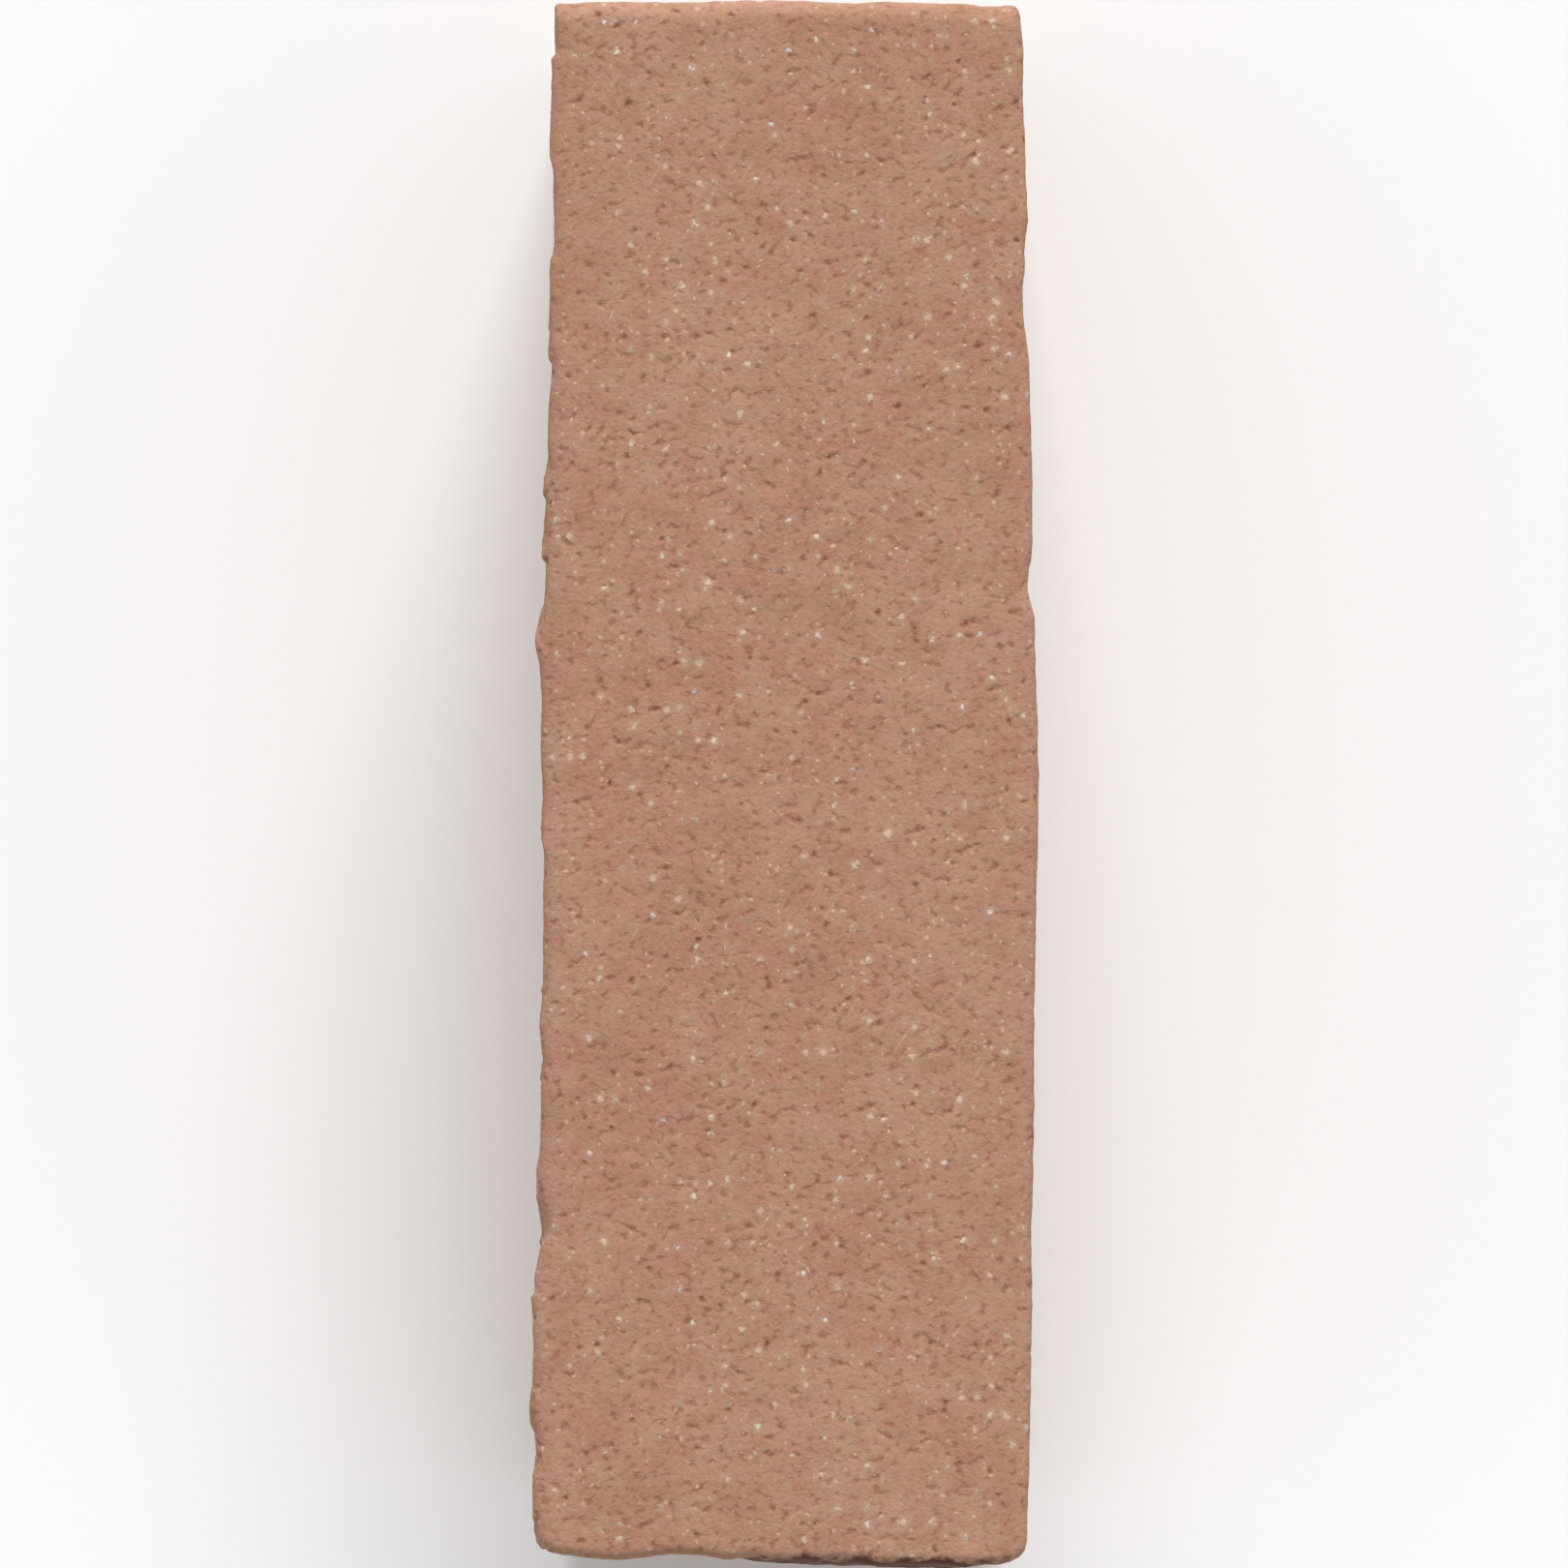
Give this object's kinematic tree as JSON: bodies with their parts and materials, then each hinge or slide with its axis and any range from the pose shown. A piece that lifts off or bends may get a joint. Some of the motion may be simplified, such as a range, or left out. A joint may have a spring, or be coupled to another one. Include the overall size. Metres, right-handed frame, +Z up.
{
  "type": "clay brick",
  "caption": "Solid fired-clay facing brick, long and slim, with a sandy speckled stretcher face, wavy worn arrises and flat bed faces for mortar.",
  "frame": {"origin": "centre of the box's underside, on the flat back that the brick lies on", "axes": "+Z up to the shown stretcher face, +Y along the length towards the head end, +X across the course height"},
  "size_m": [0.068, 0.2114, 0.1],
  "materials": {
    "fired_clay": "rough unglazed, sand-faced"
  },
  "bodies": {
    "root": {"brick": "fired_clay"}
  },
  "joints": []
}
